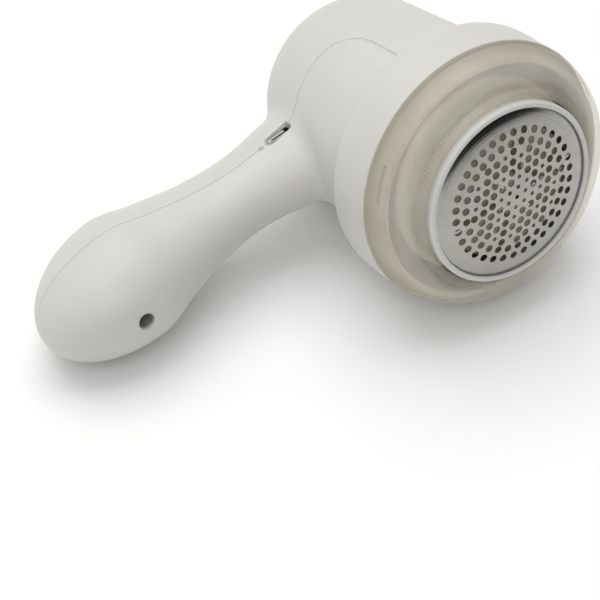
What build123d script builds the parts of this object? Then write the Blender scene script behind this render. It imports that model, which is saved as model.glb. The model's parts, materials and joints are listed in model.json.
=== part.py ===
"""Rechargeable fabric shaver, lying on its side.

Every piece is drawn in a design frame and laid down at the end.  In the design frame the head's
axis is Y: the crown of the perforated foil is near y = 0 and y grows towards the domed back.  The
handle points along -X, and a distance from the head's axis along the handle is called "reach".
Z is the side with the charging socket.  Laid down, the shaver rests on the rim of its bell, the
back of its barrel and the bulb of its handle, with the foil turned slightly up.
Millimetres and degrees.
"""
from build123d import *
from math import cos, radians, sin, sqrt, tan
import os

# Rest pose
HEAD_TILT = 11.5          # the foil faces this much above the horizontal
HANDLE_DROP = 8.8         # the handle slopes down this much to reach the floor with its bulb

# Walls and gaps
WALL = 2.2                # head shells
HANDLE_WALL = 1.8

# Bell and barrel of the head (radius, y)
BELL_R = 37.4
BELL_FRONT = 13.6
BELL_SHOULDER = [(37.4, 23.4, 90), (36.75, 28.0, 112), (34.0, 31.7, 142), (31.2, 35.2, 97)]
BARREL_R = 28.35          # at the start of the domed back
BARREL_END = 69.6
DOME_DEPTH = 21.2
BARREL_SLOPE = 94.6       # direction of the barrel's side in the (radius, y) plane
COLLAR_R = 34.6           # collar that the lint cover slips over
COLLAR_FRONT = 8.4
SHELF = (25.6, 27.8)      # ring inside the bell that carries the lint chamber and the motor
SHELF_R = 27.6

# Handle: (reach, half depth) of its sections; half width is a fixed share of half depth
HANDLE_SECTIONS = [(6, 21.8), (18, 18.2), (31.9, 14.8), (45.9, 12.55), (59.8, 13.4), (73.8, 16.6)]
BULB_REACH = 88.0
BULB_R = 20.5
TIP_REACH = 116.4
WIDTH_SHARE = 0.80
HANDLE_Y = 61.3           # axis of the handle where it meets the head's axis
HANDLE_LEAN = -0.046      # y per unit of reach
HANDLE_BOW = 2.9

# Parting line between the shells
PARTING_Y = 60.0
PARTING_X = -2.2
PARTING_BELL_Y = 34.6
PARTING_CORNER = 13.0

# Foil and its ring
FOIL_R = 24.2             # visible radius
FOIL_SKIRT_R = 24.7
FOIL_T = 0.3
FOIL_REAR = 4.3
CROWN_Y = -2.9
CROWN_EDGE = (20.6, -1.0)
RIM_Y = 0.05
RIM_SLOPE = 0.45          # of the foil at its rim
HOLE_R = 1.05
SMALL_HOLE_R = 0.6
HOLE_PITCH = 2.93
HOLE_TURN = 5.4           # direction of the rows of holes
HOLE_RINGS = [(18.6, 34), (15.7, 30)]
GRID_R = 13.7
RING_R = 25.8
RING_BORE = 24.75
RING_FRONT = -0.8
RING_REAR = 9.4
RIB_H = 0.35
RIB_W = 0.65
RIB_PITCH = 2.8           # degrees
RIB_SECTOR = 72.0         # degrees, one sector on each side
RIB_MIDDLES = (75, 255)   # degrees
RIB_SPAN = (3.2, 9.0)

# Lint cover
COVER_R = 37.5
COVER_T = 1.6
COVER_REAR = 13.5
COVER_OPENING = 26.6

# Lint chamber
NECK_R = 24.65
NECK_BORE = 22.9
NECK_FRONT = 4.6
TUBE_R = 27.4
TUBE_FRONT = 11.8
TUBE_T = 1.8
FLOOR = (22.8, 25.0)
FLANGE_R = 32.8
SCREW_CIRCLE_R = 30.2
SCREW_ANGLES = (45, 135, 225, 315)
OUTLET_ANGLES = (31, 151, 271)

# Rotor
SHAFT_R = 1.0
SHAFT = (8.0, 70.6)
POST = 5.0
POST_FRONT = 1.9
FAN_DISC = (19.0, 20.4)
FAN_R = 22.0
FAN_VANES = 8
VANE_FRONT = 12.5
CARRIER_DISC = (3.0, 4.4)
CARRIER_R = 19.0
SLEEVE_R = 5.4
SLEEVE_REAR = 7.5
BLADES = 6
BLADE_R = 20.0
BLADE_T = 0.5
BLADE_GAP = 0.08

# Motor
CAN = (30.0, 66.0)
CAN_R = 13.85
CAN_T = 0.9
CUP_REAR = 48.0
DAMPER = (60.5, 64.5)
SCREW_X = 8.0             # the motor's screws and terminals, each side of the axis
DAMPER_R = 16.4
WEB = (61.2, 63.8)

# Handle's contents, by reach
PORT_REACH = 31.8
PORT = (7.6, 2.5, 5.6)    # along the handle, across it, deep
PORT_MOUTH_Z = 11.5
LIGHT_REACH = 38.0
BOARD = (28.0, 38.8)
BOARD_Z = (-8.3, 8.6)
BOARD_T = 1.0
BOARD_POSTS = (29.6, 35.6)
BOARD_POST_Z = -5.8
CELL_REACH = (39.6, 88.6)
CELL_R = 7.0
CELL_Y = 58.6
BUTTON_REACH = 56.0
BUTTON = (15.0, 6.4)
BUTTON_PROUD = 0.7
SWITCH_BOARD_Y = (66.2, 67.0)
SWITCH_POSTS = (45.2, 66.6)
POST_R = 1.6
PIN_R = 0.7               # pins that hold the boards on their posts
RECESS_REACH = 93.1
RECESS_R = 2.35
WIRE_R = 0.5


# ---------------------------------------------------------------- drawing helpers

def turned(*corners):
    """Solid of revolution about the head's axis from (radius, y) corners."""
    return revolve(make_face(Polyline(*corners, close=True)), Axis.Y)


def tube(inner, outer, start, end):
    """Ring or tube about the head's axis."""
    if inner == 0:
        return turned((0, start), (outer, start), (outer, end), (0, end))
    return turned((inner, start), (outer, start), (outer, end), (inner, end))


def rod(x, z, radius, start, end):
    """Cylinder parallel to the head's axis."""
    return Pos(x, (start + end) / 2, z) * Rot(X=90) * Cylinder(radius, end - start)


def block(x, y, z):
    """Box from its (low, high) along each axis."""
    size = [high - low for low, high in (x, y, z)]
    centre = [(high + low) / 2 for low, high in (x, y, z)]
    return Pos(*centre) * Box(*size)


def around(angle, radius):
    """(x, z) of a point about the head's axis; 0 degrees is towards the handle, 90 is +Z."""
    return -radius * cos(radians(angle)), radius * sin(radians(angle))


def turn_about_axis(shape, angle):
    """Turns a shape made at angle 0 (towards the handle) to another angle."""
    return Rot(Y=angle) * shape


# ---------------------------------------------------------------- outer form

def inset_point(radius, y, direction, inset):
    """Moves a profile point inwards, square to the direction of the profile."""
    return radius - inset * sin(radians(direction)), y + inset * cos(radians(direction))


def head_form(inset=0.0):
    """The bell, barrel and domed back as one solid, drawn inwards by inset."""
    shoulder = [inset_point(*point, inset) for point in BELL_SHOULDER]
    side = (cos(radians(BARREL_SLOPE)), sin(radians(BARREL_SLOPE)))
    barrel_end = (BARREL_R - inset, BARREL_END)
    dome = [barrel_end]
    for angle in (30, 52, 72):
        dome.append((barrel_end[0] * cos(radians(angle)),
                     BARREL_END + (DOME_DEPTH - inset) * sin(radians(angle))))
    top = (0, BARREL_END + DOME_DEPTH - inset)
    edges = [
        Line((0, BELL_FRONT), (shoulder[0][0], BELL_FRONT)),
        Line((shoulder[0][0], BELL_FRONT), shoulder[0]),
        Spline(*shoulder, tangents=[(0, 1), side]),
        Line(shoulder[-1], barrel_end),
        Spline(*dome, top, tangents=[side, (-1, 0)]),
        Line(top, (0, BELL_FRONT)),
    ]
    return revolve(make_face(edges), Axis.Y)


def handle_y(reach):
    """Y of the handle's centre line."""
    share = (reach - 18) / (TIP_REACH - 18)
    return HANDLE_Y + HANDLE_LEAN * reach + HANDLE_BOW * 4 * share * (1 - share)


def handle_sections(inset=0.0):
    """(reach, half depth) all along the handle: the stations, then a half-ellipse for the bulb."""
    sections = [(reach, half - inset) for reach, half in HANDLE_SECTIONS]
    length = TIP_REACH - inset - BULB_REACH
    for angle in (0, 20, 38, 54, 67, 77, 85):
        sections.append((BULB_REACH + length * sin(radians(angle)),
                         (BULB_R - inset) * cos(radians(angle))))
    return sections


def handle_form(inset=0.0):
    """The handle as one solid, from inside the barrel to the tip of the bulb."""
    faces = []
    for reach, half in handle_sections(inset):
        width = (half + inset) * WIDTH_SHARE - inset if reach < BULB_REACH else \
            half * (BULB_R * WIDTH_SHARE - inset) / (BULB_R - inset)
        plane = Plane(origin=(-reach, handle_y(reach), 0), x_dir=(0, 1, 0), z_dir=(-1, 0, 0))
        faces.append(plane * Ellipse(half, width))
    tip = TIP_REACH - inset
    return loft(faces + [Vertex(-tip, handle_y(tip), 0)])


def front_region():
    """Everything in front of the parting line, as a thick slab."""
    outline = Polyline((60, -10), (60, PARTING_BELL_Y), (PARTING_X, PARTING_BELL_Y),
                       (PARTING_X, PARTING_Y), (-130, PARTING_Y), (-130, -10), close=True)
    face = make_face(outline)
    corner = face.vertices().sort_by_distance((PARTING_X, PARTING_Y))[0]
    return extrude(fillet(corner, PARTING_CORNER), amount=70, both=True)


def slot_cut(reach, size, y, clearance=0.0):
    """Rounded slot along the handle, square to its depth, between two y values."""
    plane = Plane(origin=(-reach, y[0], 0), x_dir=(1, 0, 0), z_dir=(0, 1, 0))
    slot = SlotOverall(size[0] + 2 * clearance, size[1] + 2 * clearance)
    return extrude(plane * slot, amount=y[1] - y[0])


def port_opening(clearance, z):
    """Rounded opening of the charging socket, between two z values."""
    slot = RectangleRounded(PORT[0] + 2 * clearance, PORT[1] + 2 * clearance, 0.9)
    return extrude(Plane.XY.offset(z[0]) * Pos(-PORT_REACH, PARTING_Y) * slot, amount=z[1] - z[0])


def shells():
    """Front and rear shell with their bosses, posts, collar, shelf and openings."""
    outer = head_form() + handle_form()
    neck = outer.edges().filter_by(GeomType.BSPLINE).filter_by(
        lambda edge: -34 < edge.center().X < -18 and 44 < edge.center().Y < 80)
    outer = fillet(neck, 2.5)
    inner = head_form(WALL) + handle_form(HANDLE_WALL)
    skin = outer - inner
    region = front_region()
    front = skin & region
    rear = skin - region

    collar = tube(COLLAR_R - 1.6, COLLAR_R, COLLAR_FRONT, BELL_FRONT + 2.4)
    for angle in OUTLET_ANGLES:
        window = block((-COLLAR_R - 1, -COLLAR_R + 3), (BELL_FRONT - 3.4, BELL_FRONT - 1.6), (-5.5, 5.5))
        collar -= turn_about_axis(window, angle)
    front += collar
    front += tube(COLLAR_R - 1.6, BELL_R - 1, BELL_FRONT, BELL_FRONT + 2.4)
    shelf = tube(SHELF_R, BELL_R - 1.2, *SHELF)
    for angle in SCREW_ANGLES:
        shelf -= rod(*around(angle, SCREW_CIRCLE_R), 1.45, SHELF[0] - 1, SHELF[1] + 1)
    front += shelf

    centre = handle_y(RECESS_REACH)
    well = rod(-RECESS_REACH, 0, RECESS_R + 1.2, centre - 18.6, 57.0)
    front += well & handle_form(0.2)
    front -= rod(-RECESS_REACH, 0, RECESS_R, centre - 25, 55.0)
    front -= rod(-RECESS_REACH, 0, 1.35, 54.0, 58.0)

    body = handle_form(HANDLE_WALL / 2)
    rear += rod(-RECESS_REACH, 0, 3.1, 57.2, 80) & body
    rear -= rod(-RECESS_REACH, 0, SHAFT_R + 0.02, 57.0, 67.0)
    for reach in SWITCH_POSTS:
        rear += rod(-reach, 0, POST_R, SWITCH_BOARD_Y[1], 90) & body
        rear += rod(-reach, 0, PIN_R, SWITCH_BOARD_Y[0] - 0.2, SWITCH_BOARD_Y[1] + 1)
    board_back = PARTING_Y + PORT[1] / 2 + BOARD_T
    for reach in BOARD_POSTS:
        rear += rod(-reach, BOARD_POST_Z, POST_R, board_back, 90) & body
        rear += rod(-reach, BOARD_POST_Z, PIN_R, board_back - BOARD_T - 0.3, board_back + 1)
    web = tube(DAMPER_R + 0.1, BARREL_R - WALL + 1.2, *WEB)
    rear += web

    rear -= slot_cut(BUTTON_REACH, BUTTON, (68, 80), 0.25)
    opening = port_opening(0.35, (PORT_MOUTH_Z - 0.4, 16))
    pocket = port_opening(0.08, (8, PORT_MOUTH_Z))
    light = Pos(-LIGHT_REACH, PARTING_Y, 10) * Cylinder(0.75, 8)
    front = front - opening - pocket - light
    rear = rear - opening - pocket - light
    return front, rear


# ---------------------------------------------------------------- cutting head

def crown_arc(depth):
    """Arc of the foil's crown in the (radius, y) plane, set back by depth."""
    rise = CROWN_EDGE[1] - CROWN_Y
    ball = (CROWN_EDGE[0] ** 2 + rise ** 2) / (2 * rise)
    half = CROWN_EDGE[0] / 2
    middle = CROWN_Y + ball - sqrt(ball ** 2 - half ** 2)
    return ThreePointArc((0, CROWN_Y + depth), (half, middle + depth),
                         (CROWN_EDGE[0], CROWN_EDGE[1] + depth))


def hole_places():
    """(x, z, radius) of every hole: two round rows, and a grid of large and small holes inside."""
    places = []
    for ring, (radius, count) in enumerate(HOLE_RINGS):
        for number in range(count):
            x, z = around(360 * (number + 0.5 * ring) / count, radius)
            places.append((x, z, HOLE_R))
    row_pitch = HOLE_PITCH * sqrt(3) / 2
    c, s = cos(radians(HOLE_TURN)), sin(radians(HOLE_TURN))
    for row in range(-6, 7):
        for column in range(-6, 7):
            a = (column + 0.5 * (row % 2)) * HOLE_PITCH
            b = row * row_pitch
            if a * a + b * b > GRID_R ** 2:
                continue
            small = (column + 2 * row) % 5 == 0 or (abs(column) < 2 and abs(row) < 2)
            places.append((a * c - b * s, a * s + b * c, SMALL_HOLE_R if small else HOLE_R))
    return places


def crown_rim(depth):
    """Curve from the edge of the crown to the foil's rim, set back by depth."""
    rise = CROWN_EDGE[1] - CROWN_Y
    ball = (CROWN_EDGE[0] ** 2 + rise ** 2) / (2 * rise)
    start = (sqrt(ball ** 2 - CROWN_EDGE[0] ** 2), CROWN_EDGE[0])
    return Spline((CROWN_EDGE[0], CROWN_EDGE[1] + depth), (FOIL_R, RIM_Y + depth),
                  tangents=[start, (1, RIM_SLOPE)])


def shaving_foil():
    """Crowned steel cup with its perforations."""
    inner = FOIL_SKIRT_R - FOIL_T
    edges = [
        crown_arc(0),
        crown_rim(0),
        Line((FOIL_R, RIM_Y), (FOIL_SKIRT_R, RIM_Y)),
        Line((FOIL_SKIRT_R, RIM_Y), (FOIL_SKIRT_R, FOIL_REAR)),
        Line((FOIL_SKIRT_R, FOIL_REAR), (inner, FOIL_REAR)),
        Line((inner, FOIL_REAR), (inner, RIM_Y + FOIL_T)),
        Line((inner, RIM_Y + FOIL_T), (FOIL_R, RIM_Y + FOIL_T)),
        crown_rim(FOIL_T),
        crown_arc(FOIL_T),
        Line((0, CROWN_Y), (0, CROWN_Y + FOIL_T)),
    ]
    cup = revolve(make_face(edges), Axis.Y)
    holes = [rod(x, z, radius, -4, 1) for x, z, radius in hole_places()]
    return cup - holes


def foil_ring():
    """White screw ring that holds the foil, ribbed on two sides for the fingers."""
    ring = turned((FOIL_R, 0), (FOIL_R + 0.05, -0.4), (24.4, RING_FRONT), (25.2, RING_FRONT),
                  (RING_R, -0.2), (RING_R, RING_REAR), (RING_BORE, RING_REAR), (RING_BORE, 0))
    ribs = []
    count = int(RIB_SECTOR / RIB_PITCH)
    for side in RIB_MIDDLES:
        for number in range(count + 1):
            rib = block((-RING_R - RIB_H, -RING_R + 0.3), RIB_SPAN, (-RIB_W / 2, RIB_W / 2))
            ribs.append(turn_about_axis(rib, side + (number - count / 2) * RIB_PITCH))
    return ring + ribs


def lint_cover():
    """Translucent ring round the foil ring; it closes the lint chamber."""
    t = COVER_T
    outside = Spline((28.3, 1.6), (33.2, 4.0), (36.5, 8.0), (COVER_R, COVER_REAR),
                     tangents=[(1, 0.42), (0, 1)])
    inside = Spline((COVER_R - t, COVER_REAR), (36.5 - t, 8.5), (32.3, 5.3), (28.0, 3.2),
                    tangents=[(0, -1), (-1, -0.42)])
    edges = [
        Line((COVER_OPENING, 2.6), (COVER_OPENING, 1.6)),
        ThreePointArc((COVER_OPENING, 1.6), (27.4, 0.9), (28.3, 1.6)),
        outside,
        Line((COVER_R, COVER_REAR), (COVER_R - t, COVER_REAR)),
        inside,
        Line((28.0, 3.2), (COVER_OPENING, 2.6)),
    ]
    return revolve(make_face(edges), Axis.Y)


def lint_chamber():
    """Neck, tube and floor of the lint chamber in one moulding, with three lint outlets."""
    body = turned((NECK_BORE, NECK_FRONT), (NECK_R, NECK_FRONT), (NECK_R, TUBE_FRONT),
                  (TUBE_R, TUBE_FRONT + 1.2), (TUBE_R, FLOOR[0]), (FLANGE_R, FLOOR[0]),
                  (FLANGE_R, FLOOR[1]), (4.2, FLOOR[1]), (4.2, FLOOR[0]),
                  (TUBE_R - TUBE_T, FLOOR[0]), (TUBE_R - TUBE_T, TUBE_FRONT + 2.4),
                  (NECK_BORE, TUBE_FRONT + 1.0))
    for angle in OUTLET_ANGLES:
        outlet = block((-TUBE_R - 1, -TUBE_R + 5), (TUBE_FRONT + 3.2, FLOOR[0] - 1.4), (-8, 8))
        body -= turn_about_axis(outlet, angle)
    for angle in SCREW_ANGLES:
        body -= rod(*around(angle, SCREW_CIRCLE_R), 1.45, FLOOR[0] - 1, FLOOR[1] + 1)
    return body


def screws(places, head_r, head_y, shank_r, end):
    """Group of screws: pan heads in front, shanks behind, cross recesses in the heads."""
    group = []
    for x, z in places:
        screw = rod(x, z, head_r, *head_y) + rod(x, z, shank_r, head_y[1], end)
        long, thin, deep = head_r * 0.6, 0.25, (head_y[0], head_y[0] + 0.8)
        cross = block((x - long, x + long), deep, (z - thin, z + thin))
        cross += block((x - thin, x + thin), deep, (z - long, z + long))
        group.append(screw - cross)
    return group


def seal_ring():
    ring = tube(SHELF_R, FLANGE_R, FLOOR[1], SHELF[0])
    for angle in SCREW_ANGLES:
        ring -= rod(*around(angle, SCREW_CIRCLE_R), 1.6, FLOOR[1] - 1, SHELF[0] + 1)
    return ring


def square_post(size, start, end):
    return block((-size / 2, size / 2), (start, end), (-size / 2, size / 2))


def drive_hub():
    """Square drive post, fan disc with vanes and a nose that grips the motor's shaft."""
    hub = square_post(POST, POST_FRONT, FAN_DISC[1]) + tube(0, FAN_R, *FAN_DISC)
    hub += tube(0, 3.2, FAN_DISC[1], 26.2)
    for number in range(FAN_VANES):
        vane = block((-FAN_R, -9), (VANE_FRONT, FAN_DISC[0]), (-0.5, 0.5))
        hub += turn_about_axis(vane, 360 * number / FAN_VANES)
    hub -= tube(0, SHAFT_R, SHAFT[0], 30)
    hub -= tube(0, 0.95, 0, SHAFT[0] - 0.6)
    return hub


def blade_carrier():
    """Plastic disc that carries the blades and slides on the square post."""
    carrier = tube(0, SLEEVE_R, -1.1, SLEEVE_REAR) + tube(0, CARRIER_R, *CARRIER_DISC)
    carrier += tube(CARRIER_R - 1.2, CARRIER_R, CARRIER_DISC[0] - 0.8, CARRIER_DISC[1])
    for number in range(BLADES):
        rib = block((-CARRIER_R, -SLEEVE_R + 0.4), (1.6, CARRIER_DISC[0]), (BLADE_T / 2, BLADE_T / 2 + 1.2))
        carrier += turn_about_axis(rib, 360 * number / BLADES)
    carrier -= square_post(POST + 0.12, 0.9, SLEEVE_REAR + 1)
    carrier -= tube(0, 1.1, -2, 1)
    for number in range(BLADES):
        cut = block((-BLADE_R, -SLEEVE_R), (0, CARRIER_DISC[1]), (-BLADE_T / 2, BLADE_T / 2))
        carrier -= turn_about_axis(cut, 360 * number / BLADES)
    return carrier


def blades():
    """Steel leaves that stand on the carrier and sweep the inside of the foil."""
    depth = FOIL_T + BLADE_GAP
    under_foil = make_face([
        crown_arc(depth),
        Line((CROWN_EDGE[0], CROWN_EDGE[1] + depth), (CROWN_EDGE[0], CARRIER_DISC[1])),
        Line((CROWN_EDGE[0], CARRIER_DISC[1]), (0, CARRIER_DISC[1])),
        Line((0, CARRIER_DISC[1]), (0, CROWN_Y + depth)),
    ])
    bowl = revolve(under_foil, Axis.Y)
    leaf = block((-BLADE_R, -SLEEVE_R), (-4, CARRIER_DISC[1]), (-BLADE_T / 2, BLADE_T / 2)) & bowl
    return [turn_about_axis(leaf, 360 * number / BLADES) for number in range(BLADES)]


def blade_spring():
    """Compression spring between the fan disc and the blade carrier."""
    pitch = (FAN_DISC[0] - SLEEVE_REAR - 0.9) / 5
    helix = Helix(pitch, 5 * pitch, 4.4)
    section = Plane(origin=helix @ 0, z_dir=helix % 0) * Circle(0.3)
    coil = sweep(section, path=helix)
    return Pos(0, SLEEVE_REAR + 0.45, 0) * Rot(X=-90) * coil


def centre_screw():
    head = tube(0, 2.4, -2.2, -1.2) - block((-1.7, 1.7), (-2.2, -1.7), (-0.3, 0.3))
    return head + tube(0, 0.95, -1.2, 6.4)


# ---------------------------------------------------------------- motor

def motor_frame():
    """Plate that holds the motor's front and a cup round it."""
    frame = tube(5.3, 31.6, SHELF[1], CAN[0]) + tube(CAN_R + 0.1, CAN_R + 1.9, CAN[0] - 0.1, CUP_REAR)
    for number in range(6):
        gusset = block((-24, -CAN_R - 1.2), (CAN[0] - 0.1, CAN[0] + 8), (-0.8, 0.8))
        frame += turn_about_axis(gusset, 15 + 60 * number)
    for angle in SCREW_ANGLES:
        frame -= rod(*around(angle, SCREW_CIRCLE_R), 1.05, SHELF[1] - 1, CAN[0] + 1)
    for x in (-SCREW_X, SCREW_X):
        frame -= rod(x, 0, 1.35, SHELF[1] - 1, CAN[0] + 1)
    return frame


def motor_can():
    can = tube(0, CAN_R, *CAN) - tube(0, CAN_R - CAN_T, CAN[0] + CAN_T, CAN[1] + 1)
    can += tube(0, 5.0, CAN[0] - 1.8, CAN[0] + 0.1)
    can -= tube(0, 2.5, CAN[0] - 3, CAN[0] + 3)
    for x in (-SCREW_X, SCREW_X):
        can -= rod(x, 0, 1.05, CAN[0] - 1, CAN[0] + 3)
    return can


def motor_bushes():
    """Bronze bearings at the two ends of the motor."""
    return [tube(SHAFT_R + 0.03, 2.5, CAN[0] - 1.8, CAN[0] + 1.4),
            tube(SHAFT_R + 0.03, 2.5, CAN[1] + 0.4, CAN[1] + 4.2)]


def motor_end_cap():
    cap = tube(2.5, CAN_R - CAN_T, CAN[1] - 0.8, CAN[1]) + tube(2.5, CAN_R - 0.6, CAN[1], CAN[1] + 2.4)
    cap += tube(2.5, 4.4, CAN[1] + 2.4, CAN[1] + 4.2)
    for x in (-SCREW_X, SCREW_X):
        cap -= block((x - 0.3, x + 0.3), (CAN[1] - 1, CAN[1] + 3), (-1.3, 1.3))
    return cap


def motor_terminals():
    return [block((x - 0.25, x + 0.25), (CAN[1] - 1.6, CAN[1] + 6.0), (-1.2, 1.2))
            for x in (-SCREW_X, SCREW_X)]


def motor_magnets():
    ring = tube(10.2, CAN_R - CAN_T - 0.05, CAN[0] + 5, CAN[1] - 8)
    gap = block((-20, 20), (CAN[0], CAN[1]), (-2.6, 2.6))
    return (ring - gap).solids()


def motor_armature():
    """Slotted core and commutator on the shaft."""
    core = tube(SHAFT_R, 9.8, CAN[0] + 7, CAN[1] - 10)
    for number in range(5):
        slot = block((-11, -4.5), (CAN[0], CAN[1]), (-0.9, 0.9))
        core -= turn_about_axis(slot, 72 * number)
    return core


def motor_commutator():
    return tube(SHAFT_R, 3.0, CAN[1] - 7, CAN[1] - 2)


# ---------------------------------------------------------------- electrical pieces

def board_front():
    return PARTING_Y + PORT[1] / 2


def charge_board():
    y = (board_front(), board_front() + BOARD_T)
    board = block((-BOARD[1], -BOARD[0]), y, BOARD_Z)
    for reach in BOARD_POSTS:
        board -= rod(-reach, BOARD_POST_Z, PIN_R + 0.1, y[0] - 1, y[1] + 1)
    return board


def board_parts():
    """Charger chip, power transistor, resistors and a capacitor on the charge board."""
    front = board_front()
    back = front + BOARD_T
    return [
        block((-34.2, -30.4), (back, back + 1.4), (0.2, 4.6)),
        block((-37.4, -35.8), (back, back + 1.0), (2.8, 5.4)),
        block((-31.6, -29.8), (back, back + 0.6), (-2.6, -1.6)),
        block((-34.0, -32.2), (back, back + 0.6), (-2.6, -1.6)),
        rod(-31.0, -3.0, 1.6, front - 4.2, front),
        block((-36.8, -35.0), (front - 0.6, front), (-2.0, -1.0)),
    ]


def usb_port():
    """Metal shell of the charging socket, open at +Z."""
    size = PORT
    z = (PORT_MOUTH_Z - size[2], PORT_MOUTH_Z)
    outer = port_opening(0, z)
    inner_face = RectangleRounded(size[0] - 0.6, size[1] - 0.6, 0.6)
    hollow = extrude(Plane.XY.offset(z[0] + 0.5) * Pos(-PORT_REACH, PARTING_Y) * inner_face, amount=8)
    return outer - hollow


def usb_tongue():
    z = (PORT_MOUTH_Z - PORT[2] + 0.5, PORT_MOUTH_Z - 0.5)
    tongue = block((-PORT_REACH - 2.4, -PORT_REACH + 2.4), (PARTING_Y - 0.25, PARTING_Y + 0.35), z)
    base = block((-PORT_REACH - 3.1, -PORT_REACH + 3.1), (PARTING_Y - 0.7, PARTING_Y + 0.7),
                 (z[0], z[0] + 0.9))
    return tongue + base


def charge_light():
    return block((-LIGHT_REACH - 0.6, -LIGHT_REACH + 0.6), (board_front() - 2.0, board_front()), (5.4, 7.0))


def light_pipe():
    """Clear pin that carries the charge light to the outside."""
    pin = Pos(-LIGHT_REACH, PARTING_Y, 10) * Cylinder(0.7, 5.6)
    return pin & handle_form()


def battery_cell():
    """Cylindrical cell with its insulated shoulder and contact nub."""
    reach = CELL_REACH
    body = Cylinder(CELL_R, reach[1] - reach[0] - 1.4)
    body = fillet(body.edges(), 0.5)
    centre = -(reach[0] + 1.4 + reach[1]) / 2
    nub = Pos(-reach[0] - 0.75, CELL_Y, 0) * Rot(Y=90) * Cylinder(2.6, 1.4)
    return Pos(centre, CELL_Y, 0) * Rot(Y=90) * body + nub


def battery_tabs():
    near = block((-CELL_REACH[0] - 0.05, -CELL_REACH[0] + 0.15), (CELL_Y - 2, CELL_Y + 7.2), (-2, 2))
    far = block((-CELL_REACH[1] - 0.2, -CELL_REACH[1]), (CELL_Y - 2, CELL_Y + 7.2), (-2, 2))
    return [near, far]


def battery_pad():
    """Foam cradle between the cell and the front shell."""
    pad = block((-84, -62), (46.5, 56), (-5.5, 5.5)) & handle_form(HANDLE_WALL + 0.05)
    return pad - Pos(-70, CELL_Y, 0) * Rot(Y=90) * Cylinder(CELL_R + 0.03, 60)


def switch_board():
    board = block((-68.4, -43.4), SWITCH_BOARD_Y, (-5.4, 5.4))
    for reach in SWITCH_POSTS:
        board -= rod(-reach, 0, PIN_R + 0.1, SWITCH_BOARD_Y[0] - 1, SWITCH_BOARD_Y[1] + 1)
    return board


def switch_body():
    """Push switch under the power button, with a bore for its plunger."""
    top = SWITCH_BOARD_Y[1] + 2.2
    body = block((-BUTTON_REACH - 3, -BUTTON_REACH + 3), (SWITCH_BOARD_Y[1], top), (-3, 3))
    return body - rod(-BUTTON_REACH, 0, 1.3, top - 1.5, top + 1)


def switch_plunger():
    top = SWITCH_BOARD_Y[1] + 2.2
    return rod(-BUTTON_REACH, 0, 1.2, top - 0.9, top + 0.5)


def power_button():
    """Rubber-feel button on the back of the handle with its flange inside the shell."""
    bottom = SWITCH_BOARD_Y[1] + 2.7
    cap = slot_cut(BUTTON_REACH, BUTTON, (bottom, 80)) & handle_form(-BUTTON_PROUD)
    return cap + slot_cut(BUTTON_REACH, (17.0, 5.4), (bottom, bottom + 0.8))


def corner_radii(points):
    """The largest tangent arc at each corner that leaves room for its neighbours."""
    vectors = [Vector(*point) for point in points]
    radii = []
    for before, corner, after in zip(vectors, vectors[1:], vectors[2:]):
        turn = (corner - before).get_angle(after - corner)
        run = min((corner - before).length, (after - corner).length)
        radii.append(0.45 * run / tan(radians(turn) / 2))
    return radii


def wire(*points):
    """Insulated lead along a route of (reach, y, z) points."""
    places = [(-reach, y, z) for reach, y, z in points]
    path = FilletPolyline(*places, radius=corner_radii(places))
    section = Plane(origin=path @ 0, z_dir=path % 0) * Circle(WIRE_R)
    return sweep(section, path=path)


def wires():
    """Leads from the charge board to the motor, the cell and the switch."""
    board = board_front() + BOARD_T
    terminal = CAN[1] + 4.6
    tab = CELL_Y + 7.2
    return {
        "motor_lead_red": wire((29.2, board, -3.4), (29.2, board + 3.6, -3.4), (25.4, board + 7.0, -3.4),
                               (20.0, board + 8.6, -2.4), (13.2, terminal, -0.6), (8.25, terminal, -0.6)),
        "motor_lead_black": wire((29.2, board, 6.2), (29.2, board + 4.6, 6.2), (24.0, board + 9.6, 6.6),
                                 (15.0, board + 14.0, 7.0), (4.0, board + 15.0, 6.6),
                                 (-5.0, board + 13.6, 5.0), (-11.6, board + 11.0, 2.4),
                                 (-13.6, terminal, 0.2), (-8.25, terminal, 0.2)),
        "battery_lead_black": wire((88.7, tab, 1.4), (88.7, 68.6, 1.4), (86.4, 69.6, 4.8), (80.0, 67.2, 7.4),
                                   (70.0, 65.6, 7.4), (58.0, 65.0, 6.7), (46.0, 64.8, 6.2),
                                   (39.6, 65.4, 6.2), (35.0, 65.9, 7.0), (35.0, board, 7.0)),
        "battery_lead_red": wire((39.55, tab, -1.0), (39.55, 67.7, -1.0), (37.0, 68.6, -1.4),
                                 (34.6, 66.8, -1.4), (34.6, board, -1.4)),
        "switch_lead_blue": wire((44.2, 67.0, 3.4), (44.2, 69.0, 3.4), (40.6, 69.4, 2.8), (36.4, 67.2, 1.4),
                                 (36.4, board, 1.4)),
    }


# ---------------------------------------------------------------- assembly

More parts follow.
